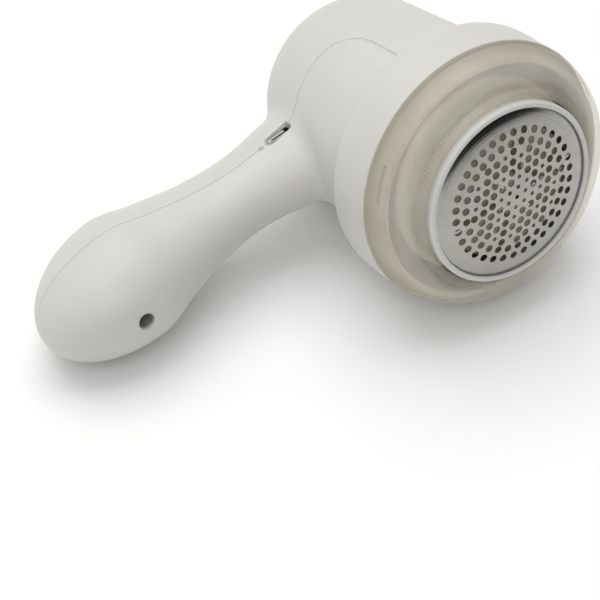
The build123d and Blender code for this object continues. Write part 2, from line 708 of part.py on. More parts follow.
def assembly():
    """All nodes by name, in the design frame."""
    front, rear = shells()
    chamber_places = [around(angle, SCREW_CIRCLE_R) for angle in SCREW_ANGLES]
    motor_places = [(-SCREW_X, 0), (SCREW_X, 0)]
    recess = [(-RECESS_REACH, 0)]
    nodes = {
        "front_shell": front,
        "rear_shell": rear,
        "handle_screw": screws(recess, 2.1, (53.3, 55.0), SHAFT_R, 65.0),
        "lint_cover": lint_cover(),
        "foil_ring": foil_ring(),
        "shaving_foil": shaving_foil(),
        "lint_chamber": lint_chamber(),
        "chamber_screws": screws(chamber_places, 2.2, (21.2, FLOOR[0]), 1.05, 29.6),
        "seal_ring": seal_ring(),
        "drive_hub": drive_hub(),
        "blade_carrier": blade_carrier(),
        "blades": blades(),
        "blade_spring": blade_spring(),
        "centre_screw": centre_screw(),
        "motor_frame": motor_frame(),
        "motor_screws": screws(motor_places, 2.0, (26.2, SHELF[1]), 1.0, CAN[0] + CAN_T),
        "motor_can": motor_can(),
        "motor_bushes": motor_bushes(),
        "motor_end_cap": motor_end_cap(),
        "motor_terminals": motor_terminals(),
        "motor_magnets": motor_magnets(),
        "motor_armature": motor_armature(),
        "motor_commutator": motor_commutator(),
        "motor_shaft": tube(0, SHAFT_R, *SHAFT),
        "motor_damper": tube(CAN_R + 0.02, DAMPER_R, *DAMPER),
        "charge_board": charge_board(),
        "board_parts": board_parts(),
        "usb_port": usb_port(),
        "usb_tongue": usb_tongue(),
        "charge_light": charge_light(),
        "light_pipe": light_pipe(),
        "battery_cell": battery_cell(),
        "battery_tabs": battery_tabs(),
        "battery_pad": battery_pad(),
        "switch_board": switch_board(),
        "switch_body": switch_body(),
        "switch_plunger": switch_plunger(),
        "power_button": power_button(),
    }
    nodes.update(wires())
    return nodes


def main():
    os.makedirs("parts", exist_ok=True)
    lay = Rot(X=-HEAD_TILT) * Rot(Y=-HANDLE_DROP)
    laid = {}
    for name, shape in assembly().items():
        solids = shape if isinstance(shape, list) else [shape]
        laid[name] = Compound([solid for item in solids for solid in item.solids()]).moved(lay)
    box = Compound(list(laid.values())).bounding_box()
    down = Pos(-box.center().X, -box.center().Y, -box.min.Z)
    for name, shape in laid.items():
        export_step(shape.moved(down), f"parts/{name}.step")
    head_axis = (lay * Pos(0, -1, 0)).position
    print("box", box.size, "front normal", head_axis, "foil centre", (down * lay).position)


main()
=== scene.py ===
# Looks of a rechargeable fabric shaver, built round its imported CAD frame.
#
# Shapes are drawn in the design frame, in millimetres, and then laid into the frame's own place:
# the head's axis is Y with the foil's crown near y = 0, the handle points along -X, a distance
# from the head's axis along the handle is a "reach", and Z is the charging socket's side.
import json
from math import cos, pi, radians, sin, sqrt

import bmesh
import bpy
import numpy as np
from mathutils import Matrix, Vector
from mathutils.bvhtree import BVHTree


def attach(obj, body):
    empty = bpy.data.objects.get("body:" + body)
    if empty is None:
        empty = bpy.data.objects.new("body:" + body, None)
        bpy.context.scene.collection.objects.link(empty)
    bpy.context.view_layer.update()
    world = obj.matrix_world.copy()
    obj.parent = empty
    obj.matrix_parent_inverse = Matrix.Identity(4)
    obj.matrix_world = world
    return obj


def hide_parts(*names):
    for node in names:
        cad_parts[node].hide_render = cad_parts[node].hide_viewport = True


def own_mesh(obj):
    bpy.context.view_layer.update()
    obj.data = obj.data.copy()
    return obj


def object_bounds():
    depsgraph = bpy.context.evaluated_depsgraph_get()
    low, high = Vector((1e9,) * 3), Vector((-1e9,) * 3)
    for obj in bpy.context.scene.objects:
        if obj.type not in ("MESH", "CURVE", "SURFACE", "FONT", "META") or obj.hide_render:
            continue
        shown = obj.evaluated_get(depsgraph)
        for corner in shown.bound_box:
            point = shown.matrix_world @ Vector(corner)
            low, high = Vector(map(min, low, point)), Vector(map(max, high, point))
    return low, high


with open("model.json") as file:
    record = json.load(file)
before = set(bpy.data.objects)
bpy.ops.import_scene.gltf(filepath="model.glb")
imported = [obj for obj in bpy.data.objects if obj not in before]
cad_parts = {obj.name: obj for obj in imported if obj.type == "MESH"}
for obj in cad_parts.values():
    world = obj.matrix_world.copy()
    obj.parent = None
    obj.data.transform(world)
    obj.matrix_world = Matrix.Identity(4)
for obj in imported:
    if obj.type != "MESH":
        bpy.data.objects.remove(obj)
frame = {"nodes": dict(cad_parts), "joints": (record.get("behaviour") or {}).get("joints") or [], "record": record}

cad_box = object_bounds()
MM = 0.001

# ---------------------------------------------------------------- the design frame

joints = {joint["name"]: joint for joint in frame["joints"]}
mounts = {mount["name"]: mount for mount in frame["record"]["mounts"]}
CENTRE = Vector(joints["blade_spin"]["pos_m"])
FRONT = Vector(joints["blade_spin"]["axis"])
Z_AXIS = Vector(mounts["charging_socket"]["axis"])
X_AXIS = (-FRONT).cross(Z_AXIS).normalized()
DESIGN = (Matrix.Translation(CENTRE) @ Matrix((X_AXIS, -FRONT, Z_AXIS)).transposed().to_4x4()
          @ Matrix.Scale(MM, 4))

# Bell and barrel of the head, as (radius, y)
BELL_R = 37.4
BELL_FRONT = 13.6
BELL_EDGE = 0.45             # radius of the edge there
BELL_SHOULDER = [(37.4, 23.4), (36.75, 28.0), (34.0, 31.7), (31.2, 35.2)]
BARREL_R = 28.35
BARREL_END = 69.6
DOME_DEPTH = 21.2
BARREL_SLOPE = 94.6          # direction of the barrel's side in the (radius, y) plane

# Handle: (reach, half depth) of its sections, and its bulb
HANDLE_SECTIONS = [(-10, 26.0), (6, 21.8), (18, 18.2), (31.9, 14.8), (45.9, 12.55),
                   (59.8, 13.4), (73.8, 16.6)]
HANDLE_START = 4             # reach where the handle's own mesh starts, inside the barrel
HANDLE_ROOT = 18             # reach where the bow of its centre line starts
BULB_REACH = 88.0
BULB_R = 20.5
TIP_REACH = 116.4
WIDTH_SHARE = 0.80           # half width over half depth
HANDLE_Y = 61.3              # centre line's y on the head's axis
HANDLE_LEAN = -0.046         # its y per unit of reach
HANDLE_BOW = 2.9
NECK_BLEND = 3.0             # width over which the handle flows into the barrel

# Parting line between the shells
PARTING_Y = 60.0
PARTING_X = -2.2
PARTING_BELL_Y = 34.6
PARTING_CORNER = 13.0
SEAM_WIDTH = 0.14
SEAM_DEPTH = 0.3

# Openings in the shells, each with the radius of its edge
PORT_REACH = 31.8
PORT = (8.3, 3.2)
PORT_CORNER = 0.8
PORT_DEPTH = 0.9
PORT_EDGE = 0.2
LIGHT_REACH = 38.0
LIGHT_R = 0.75
LIGHT_DEPTH = 1.7
LIGHT_EDGE = 0.12
RECESS_REACH = 93.1
RECESS_R = 2.35
RECESS_DEPTH = 14
RECESS_EDGE = 0.35
BUTTON_REACH = 56.0
BUTTON = (15.0, 6.4)
BUTTON_GAP = 0.25
BUTTON_DEPTH = 1.7
BUTTON_EDGE = 0.3

# Power button's pad
PAD_PROUD = 0.7
PAD_BASE = 70.5              # y of its underside
PAD_EDGE = 0.5
PAD_DISH = 0.25
FLANGE_TOP = 70.9            # y up to which the button is the CAD's

# Foil, its ring and the lint cover
FOIL_R = 24.2
RING_R = 25.8
RING_BORE = 24.75
RING_FRONT = -0.8
RING_REAR = 9.4
RING_FACE_R = 25.3           # outer radius of its front face
RING_SHOULDER = -0.1         # y where its side starts
RIB_H = 0.32
RIB_PITCH = 2.8              # degrees
RIB_MIDDLES = (75, 255)      # degrees
RIB_SECTOR = 72.0            # degrees
RIB_SPAN = (3.2, 9.0)        # y
RIB_END = 0.7                # length over which a rib rises at each end
COVER_R = 37.5
COVER_T = 1.6
COVER_REAR = 13.5
COVER_BEAD = 1.5             # width of the bead along its edge
COVER_OPENING = 26.2
COVER_FACE = [(29.4, 2.75), (33.2, 4.0), (36.2, 7.8)]     # (radius, y) along its outside
COVER_INSIDE = [(34.9, 8.5), (32.3, 5.4), (28.4, 3.7)]    # and along its inside
LIP_FRONT = 0.75
LIP_REAR = 3.1
LIP_R = 28.1
LIP_FOOT = (28.3, 2.7)       # (radius, y) where the lip meets the face

# Spring behind the blades
SPRING_R = 4.4
SPRING_WIRE_R = 0.3
SPRING_SPAN = (7.95, 18.55)
SPRING_TURNS = 5             # open turns, between two closed ones

VOXEL = 0.9                  # size of the faces of the shells
STEP = 0.02                  # over which a slope of the form is measured
SPARE_FRONT = 6              # of the form, in front of the bell's edge
INNER_HALF = 0.9             # the shells' own inner half comes from the CAD shells, this far in
SKIN = 1.3

# Body colour of the cover, as (distance from the axis, colour): the bright middle band is painted light, as if
# light glowed through the plastic there, against darker beige towards both edges
COVER_PAINTED_LIGHT_BANDS = [(26.0, (0.64, 0.61, 0.55)), (28.6, (0.74, 0.70, 0.63)), (30.6, (0.98, 0.95, 0.885)),
               (33.4, (0.97, 0.94, 0.87)), (36.2, (0.70, 0.665, 0.59)), (37.6, (0.60, 0.565, 0.50))]
COVER_GLOW = 0.2             # share of the cover's body that lets light through softly

# Studio: its walls, two lights and a floor, in metres and watts
WORLD_LIGHT = 0.64
DARK_WALL = (0.3, -1.0, 0.12)    # the foil mirrors this darker side of the studio
DARK_LIGHT = 0.02
DARK_FALL = (0.72, 0.88)     # cosines of the angles where the walls start and stop getting darker
KEY = {"direction": (0.05, 0.3, 1.0), "distance": 0.9, "size": 0.9, "power": 5.2}
FILL = {"direction": (-0.45, -0.6, 0.9), "distance": 1.1, "size": 0.5, "power": 1.5}
FLOOR_HALF = 6.0

# Camera, at the photograph's angle: degrees, metres and, for the lens, millimetres
AZIMUTH, ELEVATION, ROLL = -32.01, 46.43, -3.21
CAMERA_PLACE = (-0.25759, -0.40957, 0.49843)
LENS = 150
SENSOR = 36
CLIP_START = 0.05


# ---------------------------------------------------------------- mesh helpers

def mesh_object(name, points, faces):
    """A new object from points and faces, still in the design frame."""
    mesh = bpy.data.meshes.new(name)
    mesh.from_pydata([tuple(point) for point in points], [], faces)
    mesh.update()
    obj = bpy.data.objects.new(name, mesh)
    bpy.context.scene.collection.objects.link(obj)
    return obj


def remove(*objects):
    for obj in objects:
        bpy.data.objects.remove(obj)


def tidy_normals(obj):
    """Joins doubled points and turns every face outwards."""
    mesh = bmesh.new()
    mesh.from_mesh(obj.data)
    bmesh.ops.remove_doubles(mesh, verts=mesh.verts, dist=1e-5)
    bmesh.ops.recalc_face_normals(mesh, faces=mesh.faces)
    mesh.to_mesh(obj.data)
    mesh.free()
    return obj


def loft(name, rings, closed=False):
    """Closed surface through rings with equally many points; closed joins the last ring to the first."""
    count = len(rings[0])
    points = [point for ring in rings for point in ring]
    faces = []
    for level in range(len(rings) if closed else len(rings) - 1):
        above = (level + 1) % len(rings)
        for i in range(count):
            j = (i + 1) % count
            faces.append((level * count + i, level * count + j, above * count + j, above * count + i))
    if not closed:
        faces.append(tuple(range(count)))
        faces.append(tuple(range((len(rings) - 1) * count, len(rings) * count)))
    return tidy_normals(mesh_object(name, points, faces))


def around(angle, radius, y):
    """Point about the head's axis; 0 degrees is towards the handle, 90 is +Z."""
    return -radius * cos(radians(angle)), y, radius * sin(radians(angle))


def turned(name, profile, steps=240, outwards=lambda angle, radius, y: 0.0):
    """Turned body from a closed (radius, y) profile; outwards(angle, radius, y) moves points out."""
    rings = []
    for step in range(steps):
        angle = 360 * step / steps
        rings.append([around(angle, r + outwards(angle, r, y), y) for r, y in profile])
    return loft(name, rings, closed=True)


def baked(obj):
    """The object with its modifiers made real."""
    depsgraph = bpy.context.evaluated_depsgraph_get()
    mesh = bpy.data.meshes.new_from_object(obj.evaluated_get(depsgraph))
    obj.modifiers.clear()
    obj.data = mesh
    return obj


def combine(obj, tool, operation):
    """Boolean of two closed meshes, in place."""
    modifier = obj.modifiers.new("combine", "BOOLEAN")
    modifier.operation = operation
    modifier.solver = "MANIFOLD"
    modifier.object = tool
    return baked(obj)


def copy_of(obj, name):
    other = bpy.data.objects.new(name, obj.data.copy())
    bpy.context.scene.collection.objects.link(other)
    return other


def cad_copy(node, name):
    """Copy of a CAD node's mesh in the design frame, for a piece that builds on it."""
    obj = copy_of(frame["nodes"][node], name)
    obj.data.materials.clear()
    obj.data.transform(DESIGN.inverted())
    return tidy_normals(obj)


def smooth_curve(points, start, end, steps):
    """Points of a smooth curve through the given ones, with its directions at both ends."""
    places = [np.array(point, float) for point in points]
    slopes = []
    for i in range(len(places)):
        if i == 0 or i == len(places) - 1:
            direction = np.array(start if i == 0 else end, float)
        else:
            before, after = places[i] - places[i - 1], places[i + 1] - places[i]
            a, b = np.linalg.norm(before), np.linalg.norm(after)
            direction = before * b / a + after * a / b
        slopes.append(direction / np.linalg.norm(direction))
    curve = []
    for i in range(len(places) - 1):
        chord = np.linalg.norm(places[i + 1] - places[i])
        for t in np.linspace(0, 1, steps, endpoint=i == len(places) - 2):
            h = (2 * t**3 - 3 * t**2 + 1, t**3 - 2 * t**2 + t, 3 * t**2 - 2 * t**3, t**3 - t**2)
            curve.append(h[0] * places[i] + h[1] * chord * slopes[i]
                         + h[2] * places[i + 1] + h[3] * chord * slopes[i + 1])
    return [tuple(point) for point in curve]


def rounded(corners, radii, steps=6):
    """Closed outline with each corner rounded by its radius."""
    outline = []
    count = len(corners)
    for i in range(count):
        corner = np.array(corners[i], float)
        to_last = np.array(corners[i - 1], float) - corner
        to_next = np.array(corners[(i + 1) % count], float) - corner
        a, b = to_last / np.linalg.norm(to_last), to_next / np.linalg.norm(to_next)
        if radii[i] == 0:
            outline.append(tuple(corner))
            continue
        half = np.arccos(np.clip(a @ b, -1, 1)) / 2
        reach = radii[i] / np.tan(half)
        middle = corner + (a + b) / np.linalg.norm(a + b) * radii[i] / np.sin(half)
        first, last = corner + a * reach - middle, corner + b * reach - middle
        for t in np.linspace(0, 1, steps):
            arm = first * (1 - t) + last * t
            outline.append(tuple(middle + arm / np.linalg.norm(arm) * radii[i]))
    return outline


# ---------------------------------------------------------------- outer form of the shells

def head_profile():
    """(radius, y) points of the head's outside, from in front of the bell to the dome's centre."""
    side = (cos(radians(BARREL_SLOPE)), sin(radians(BARREL_SLOPE)))
    shoulder = smooth_curve(BELL_SHOULDER, (0, 1), side, 14)
    barrel_end = (BARREL_R, BARREL_END)
    dome = [barrel_end]
    for angle in (30, 52, 72):
        dome.append((BARREL_R * cos(radians(angle)), BARREL_END + DOME_DEPTH * sin(radians(angle))))
    dome.append((0, BARREL_END + DOME_DEPTH))
    return [(BELL_R, 0)] + shoulder + smooth_curve(dome, side, (-1, 0), 12)


def handle_y(reach):
    """Y of the handle's centre line."""
    share = (reach - HANDLE_ROOT) / (TIP_REACH - HANDLE_ROOT)
    return HANDLE_Y + HANDLE_LEAN * reach + HANDLE_BOW * 4 * share * (1 - share)


HEAD = np.array(head_profile())
HANDLE = np.array(smooth_curve(HANDLE_SECTIONS + [(BULB_REACH, BULB_R)], (1, -0.26), (1, 0), 16))


def head_distance(p):
    """Signed distance of points to the head's outside."""
    r, y = np.hypot(p[:, 0], p[:, 2]), p[:, 1]
    best = np.full(len(p), np.inf)
    side = np.zeros(len(p))
    for (r0, y0), (r1, y1) in zip(HEAD, HEAD[1:]):
        dr, dy = r1 - r0, y1 - y0
        t = np.clip(((r - r0) * dr + (y - y0) * dy) / (dr * dr + dy * dy), 0, 1)
        er, ey = r - r0 - t * dr, y - y0 - t * dy
        distance = np.hypot(er, ey)
        nearer = distance < best
        best = np.where(nearer, distance, best)
        side = np.where(nearer, dy * er - dr * ey, side)
    return np.where(side > 0, best, -best)


def handle_distance(p):
    """Distance of points to the handle's outside, near enough beside it and exact on it."""
    reach = -p[:, 0]
    half = np.interp(reach, HANDLE[:, 0], HANDLE[:, 1])
    y = p[:, 1] - handle_y(reach)
    along = np.maximum(reach - BULB_REACH, 0) / (TIP_REACH - BULB_REACH)
    a, b = y / half, p[:, 2] / (half * WIDTH_SHARE)
    size = np.sqrt(a * a + b * b + along * along) + 1e-9
    pull = np.sqrt((a / half) ** 2 + (b / half / WIDTH_SHARE) ** 2
                   + (along / (TIP_REACH - BULB_REACH)) ** 2) + 1e-9
    distance = size * (size - 1) / pull
    return np.where(reach > HANDLE[0, 0], distance, half * 2)


def form_distance(p):
    """The head and the handle as one form, with a soft blend where they meet."""
    a, b = head_distance(p), handle_distance(p)
    h = np.maximum(NECK_BLEND - np.abs(a - b), 0) / NECK_BLEND
    return np.minimum(a, b) - h * h * NECK_BLEND / 4


def form_slope(p, value):
    """Slope of the form's distance at points, where it has the given values."""
    return np.stack([(form_distance(p + STEP * axis) - value) / STEP for axis in np.eye(3)], axis=1)


def pull_to_form(p):
    """Moves points onto the form."""
    for _ in range(3):
        value = form_distance(p)
        slope = form_slope(p, value)
        p = p - slope * (value / np.maximum((slope * slope).sum(axis=1), 0.2))[:, None]
    return p


def relaxed(p, edges):
    """Evens out the points by moving each towards the middle of its neighbours."""
    total, count = np.zeros_like(p), np.zeros(len(p))
    for i, j in (edges.T, edges[:, ::-1].T):
        np.add.at(total, i, p[j])
        np.add.at(count, i, 1)
    return p * 0.4 + total / count[:, None] * 0.6


def joined_form():
    """Head and handle as one closed mesh of even faces."""
    head = turned("head_form", [(0, 0)] + [tuple(point) for point in HEAD], steps=120)
    sections = [tuple(point) for point in HANDLE[HANDLE[:, 0] > HANDLE_START][:-1]]
    for angle in np.linspace(0, 88, 12):
        reach = BULB_REACH + (TIP_REACH - BULB_REACH) * sin(radians(angle))
        sections.append((reach, BULB_R * cos(radians(angle))))
    turns = np.linspace(0, 2 * pi, 72, endpoint=False)
    handle = loft("handle_form", [
        [(-reach, handle_y(reach) + half * cos(t), WIDTH_SHARE * half * sin(t)) for t in turns]
        for reach, half in sections])
    combine(head, handle, "UNION")
    remove(handle)
    even = head.modifiers.new("even", "REMESH")
    even.mode = "VOXEL"
    even.voxel_size = VOXEL
    return baked(head)


def outer_form():
    """Both shells' outside as a mesh, its points drawn onto the form, and the outward directions.

    Points well in front of the bell's edge stay where they are, because that end is cut off.
    """
    head = joined_form()
    mesh = head.data
    p = np.zeros(len(mesh.vertices) * 3)
    mesh.vertices.foreach_get("co", p)
    p = p.reshape(-1, 3)
    edges = np.zeros(len(mesh.edges) * 2, int)
    mesh.edges.foreach_get("vertices", edges)
    edges = edges.reshape(-1, 2)
    kept = p[:, 1] < BELL_FRONT - SPARE_FRONT
    held = p[kept].copy()
    for _ in range(3):
        p = relaxed(pull_to_form(p), edges)
        p[kept] = held
    p = pull_to_form(p)
    p[kept] = held
    out = form_slope(p, form_distance(p))
    out /= np.linalg.norm(out, axis=1)[:, None]
    out[kept] = 0
    return head, p, out


def moved_form(form, points, name):
    """Copy of the form with its points moved."""
    obj = copy_of(form, name)
    obj.data.vertices.foreach_set("co", np.asarray(points, np.float32).ravel())
    obj.data.update()
    return obj


def prism(name, outline, low, high):
    """Closed prism of an (x, y) outline between two z values."""
    return loft(name, [[(x, y, z) for x, y in outline] for z in (low, high)])


def parting_path():
    """(x, y) points of the parting line, from the far side of the bell to beyond the bulb."""
    corners = [(60, PARTING_BELL_Y), (PARTING_X, PARTING_BELL_Y), (PARTING_X, PARTING_Y), (-130, PARTING_Y)]
    return corners[:2] + rounded(corners, (0, 0, PARTING_CORNER, 0), 32)[2:-1] + corners[3:]


def offset_path(path, distance):
    """The path moved sideways by distance."""
    points = [np.array(point, float) for point in path]
    moved = []
    for i, point in enumerate(points):
        ways = []
        if i > 0:
            ways.append(point - points[i - 1])
        if i < len(points) - 1:
            ways.append(points[i + 1] - point)
        normals = [np.array((-way[1], way[0])) / np.linalg.norm(way) for way in ways]
        middle = sum(normals) / len(normals)
        moved.append(tuple(point + middle / (middle @ normals[0]) * distance))
    return moved


# ---------------------------------------------------------------- openings in the shells

def slot_outline(length, width, corner):
    """Function from a growth to the (a, b) points of a rounded slot grown by it."""
    def outline(grow):
        a, b, r = length / 2 + grow, width / 2 + grow, corner + grow
        return rounded([(a, b), (-a, b), (-a, -b), (a, -b)], [r] * 4, 9)
    return outline


def round_outline(radius):
    """The same for a circle."""
    turns = np.linspace(0, 2 * pi, 36, endpoint=False)
    return lambda grow: [((radius + grow) * cos(t), (radius + grow) * sin(t)) for t in turns]


def surface_point(tree, middle, out, across, a, b):
    """Point of the form's surface over a place at a along the handle and b across it."""
    place = Vector(middle) + Vector((a, 0, 0)) + across * b
    return tree.ray_cast(place + out * 60, -out)[0]


def surface_ring(tree, middle, out, across, outline, height):
    """Points of an outline laid on the form's surface, at a height over it."""
    return [surface_point(tree, middle, out, across, a, b) + out * height for a, b in outline]


def opening_tool(name, tree, middle, out, across, outline, depth, edge):
    """Tool that cuts an opening with rounded edges, down to depth below its middle."""
    floor = surface_point(tree, middle, out, across, 0, 0) - out * depth
    bottom = []
    for a, b in outline(0):
        place = Vector(middle) + Vector((a, 0, 0)) + across * b
        bottom.append(place + out * (floor - place).dot(out))
    rings = [bottom]
    for t in np.linspace(0, pi / 2, 6):
        rings.append(surface_ring(tree, middle, out, across, outline(edge * (1 - cos(t))),
                                  edge * (sin(t) - 1)))
    rings.append(surface_ring(tree, middle, out, across, outline(edge * 1.3), 1.0))
    return loft(name, rings)


def pad(name, tree, middle, out, across, outline, base, proud, edge, dish):
    """Raised pad that follows the surface, with a rounded edge and a shallow dish in its top."""
    bottom = []
    for a, b in outline(0):
        place = Vector(middle) + Vector((a, 0, 0)) + across * b
        bottom.append(place + out * (base - place.dot(out)))
    rings = [bottom]
    for t in np.linspace(0, pi / 2, 6):
        rings.append(surface_ring(tree, middle, out, across, outline(edge * (cos(t) - 1)),
                                  proud + edge * (sin(t) - 1)))
    for share in (0.9, 0.75, 0.6, 0.45, 0.3, 0.15, 0.05):
        shrunk = [(a * share, b * share) for a, b in outline(-edge)]
        height = proud - dish * (1 - share) * (1 + share)
        rings.append(surface_ring(tree, middle, out, across, shrunk, height))
    return loft(name, rings)


# ---------------------------------------------------------------- materials

MIX_RESULT, MIX_FIRST, MIX_SECOND = 2, 6, 7      # colour sockets of a Mix node


class Look:
    """A material under construction: a Principled shader and the nodes that feed it."""

    def __init__(self, name, colour, roughness, **sockets):
        self.material = bpy.data.materials.new(name)
        self.material.use_nodes = True
        self.tree = self.material.node_tree
        self.tree.nodes.clear()
        self.shader = self.add("ShaderNodeBsdfPrincipled")
        self.output = self.add("ShaderNodeOutputMaterial")
        self.join(self.shader, "BSDF", self.output, "Surface")
        self.set("Base Color", (*colour, 1))
        self.set("Roughness", roughness)
        for socket, value in sockets.items():
            self.set(socket.replace("_", " "), value)
        self.place = self.add("ShaderNodeTexCoord")
        self.bumps = None

    def add(self, kind, **settings):
        node = self.tree.nodes.new(kind)
        for key, value in settings.items():
            setattr(node, key, value)
        return node

    def set(self, socket, value):
        self.shader.inputs[socket].default_value = value

    def join(self, source, output, target, socket):
        self.tree.links.new(source.outputs[output], target.inputs[socket])

    def noise(self, size, detail=2.0, source=None, output="Object"):
        """Noise whose features are about size millimetres."""
        node = self.add("ShaderNodeTexNoise")
        node.inputs["Scale"].default_value = 1 / (size * MM)
        node.inputs["Detail"].default_value = detail
        self.join(source or self.place, output, node, "Vector")
        return node

    def ranged(self, source, output, low, high, start=0.3, end=0.7):
        """A value mapped from the middle of a texture's range to low..high."""
        node = self.add("ShaderNodeMapRange")
        for socket, value in (("From Min", start), ("From Max", end), ("To Min", low), ("To Max", high)):
            node.inputs[socket].default_value = value
        self.join(source, output, node, "Value")
        return node

    def mixed(self, factor, output, first, second):
        """Colour between two colours, or between a node's colour and a colour."""
        node = self.add("ShaderNodeMix", data_type="RGBA")
        self.join(factor, output, node, 0)
        for socket, colour in ((MIX_FIRST, first), (MIX_SECOND, second)):
            if isinstance(colour, tuple):
                node.inputs[socket].default_value = (*colour, 1)
            else:
                self.join(colour, MIX_RESULT, node, socket)
        return node

    def tint(self, node):
        """Takes the base colour from a Mix node."""
        self.join(node, MIX_RESULT, self.shader, "Base Color")

    def gloss(self, texture, least, most):
        """Takes the roughness from a texture, from least to most."""
        self.join(self.ranged(texture, "Fac", least, most), "Result", self.shader, "Roughness")

    def bump(self, source, output, height, strength=1.0):
        """Adds a relief of height millimetres from a texture."""
        node = self.add("ShaderNodeBump")
        node.inputs["Strength"].default_value = strength
        node.inputs["Distance"].default_value = height * MM
        self.join(source, output, node, "Height")
        if self.bumps:
            self.join(self.bumps, "Normal", node, "Normal")
        self.join(node, "Normal", self.shader, "Normal")
        self.bumps = node


def shade(colour, factor):
    """A colour made darker or lighter by a factor."""
    return tuple(channel * factor for channel in colour)


def plastic(name, colour, roughness, grain=0.35, grain_height=0.004, peel_height=0.01, **sockets):
    """Moulded plastic: faint tone changes, fine grain and a slow waviness from the mould."""
    look = Look(name, colour, roughness, **sockets)
    tone = look.noise(22, 3)
    speck = look.noise(0.5, 2)
    specks = look.ranged(speck, "Fac", 0, 0.12, 0.45, 0.75)
    base = look.mixed(look.ranged(tone, "Fac", 0, 1), "Result", shade(colour, 0.975), shade(colour, 1.015))
    look.tint(look.mixed(specks, "Result", base, shade(colour, 0.9)))
    look.gloss(look.noise(9, 4), roughness - 0.05, roughness + 0.06)
    look.bump(look.noise(4.0, 1), "Fac", peel_height)
    look.bump(look.noise(grain, 2), "Fac", grain_height)
    return look.material


def metal(name, colour, roughness, brush=(0.15, 3.0), height=0.002, **sockets):
    """Drawn or ground metal: fine scratches along one direction and a slow change of tone."""
    look = Look(name, colour, roughness, Metallic=1.0, **sockets)
    stretch = look.add("ShaderNodeMapping")
    stretch.inputs["Scale"].default_value = (1.0, brush[0] / brush[1], 1.0)
    look.join(look.place, "Object", stretch, "Vector")
    lines = look.noise(brush[0], 2, stretch, "Vector")
    tone = look.ranged(look.noise(6, 3), "Fac", 0, 1)
    look.tint(look.mixed(tone, "Result", shade(colour, 0.86), shade(colour, 1.06)))
    look.gloss(lines, roughness * 0.75, roughness * 1.3)
    look.bump(lines, "Fac", height)
    return look.material


def from_axis(look):
    """Nodes for a place's offset from the head's middle, its turning direction and its distance."""
    inward = look.add("ShaderNodeVectorMath", operation="SUBTRACT")
    inward.inputs[1].default_value = CENTRE
    look.join(look.place, "Object", inward, "Vector")
    across = look.add("ShaderNodeVectorMath", operation="CROSS_PRODUCT")
    across.inputs[1].default_value = FRONT
    look.join(inward, "Vector", across, "Vector")
    distance = look.add("ShaderNodeVectorMath", operation="LENGTH")
    look.join(across, "Vector", distance, "Vector")
    return inward, across, distance


def turned_steel(name, colour, roughness):
    """Polished foil with the fine rings that its tool leaves round the head's axis."""
    look = Look(name, colour, roughness, Metallic=1.0, Anisotropic=0.55)
    inward, across, distance = from_axis(look)
    joined = look.add("ShaderNodeCombineXYZ")
    look.join(distance, "Value", joined, "X")
    slow = look.add("ShaderNodeVectorMath", operation="SCALE")
    slow.inputs["Scale"].default_value = 0.02
    look.join(inward, "Vector", slow, "Vector")
    place = look.add("ShaderNodeVectorMath", operation="ADD")
    look.join(joined, "Vector", place, 0)
    look.join(slow, "Vector", place, 1)
    rings = look.noise(0.45, 4, place, "Vector")
    tangent = look.add("ShaderNodeVectorMath", operation="NORMALIZE")
    look.join(across, "Vector", tangent, "Vector")
    look.join(tangent, "Vector", look.shader, "Tangent")
    tone = look.ranged(look.noise(3.5, 3), "Fac", 0, 1)
    look.tint(look.mixed(tone, "Result", shade(colour, 0.93), shade(colour, 1.04)))
    look.gloss(rings, roughness * 0.6, roughness * 1.6)
    look.bump(rings, "Fac", 0.016)
    return look.material


def milky_plastic(name, painted_light_bands, roughness, clear):
    """Smoky clear plastic whose body colour follows bands of (distance from the axis, colour); the bright bands
    are painted light.
    """
    look = Look(name, painted_light_bands[0][1], roughness, IOR=1.46)
    distance = from_axis(look)[2]
    inner, outer = painted_light_bands[0][0] * MM, painted_light_bands[-1][0] * MM
    share = look.add("ShaderNodeMapRange")
    for socket, value in (("From Min", inner), ("From Max", outer)):
        share.inputs[socket].default_value = value
    look.join(distance, "Value", share, "Value")
    wander = look.ranged(look.noise(14, 3), "Fac", -0.08, 0.08)
    place = look.add("ShaderNodeMath", operation="ADD")
    look.join(share, "Result", place, 0)
    look.join(wander, "Result", place, 1)
    # Painted light: the ramp makes the body colour bright in the middle band and darker beige towards the edges,
    # by distance from the axis.
    ramp = look.add("ShaderNodeValToRGB")
    stops = ramp.color_ramp.elements
    while len(stops) < len(painted_light_bands):
        stops.new(0.5)
    for stop, (reach, colour) in zip(stops, painted_light_bands):
        stop.position = (reach * MM - inner) / (outer - inner)
        stop.color = (*colour, 1)
    look.join(place, "Value", ramp, "Fac")
    look.join(ramp, "Color", look.shader, "Base Color")
    look.gloss(look.noise(7, 4), roughness - 0.05, roughness + 0.07)
    look.bump(look.noise(5.0, 1), "Fac", 0.02)
    look.bump(look.noise(0.4, 2), "Fac", 0.003)
    through = look.add("ShaderNodeBsdfTransparent")
    through.inputs["Color"].default_value = (0.985, 0.97, 0.935, 1)
    glow = look.add("ShaderNodeBsdfTranslucent")
    look.join(ramp, "Color", glow, "Color")
    inside = look.add("ShaderNodeMixShader")
    inside.inputs[0].default_value = COVER_GLOW
    look.join(look.shader, "BSDF", inside, 1)
    look.join(glow, "BSDF", inside, 2)
    both = look.add("ShaderNodeMixShader")
    both.inputs[0].default_value = clear
    look.join(inside, "Shader", both, 1)
    look.join(through, "BSDF", both, 2)
    look.join(both, "Shader", look.output, "Surface")
    return look.material


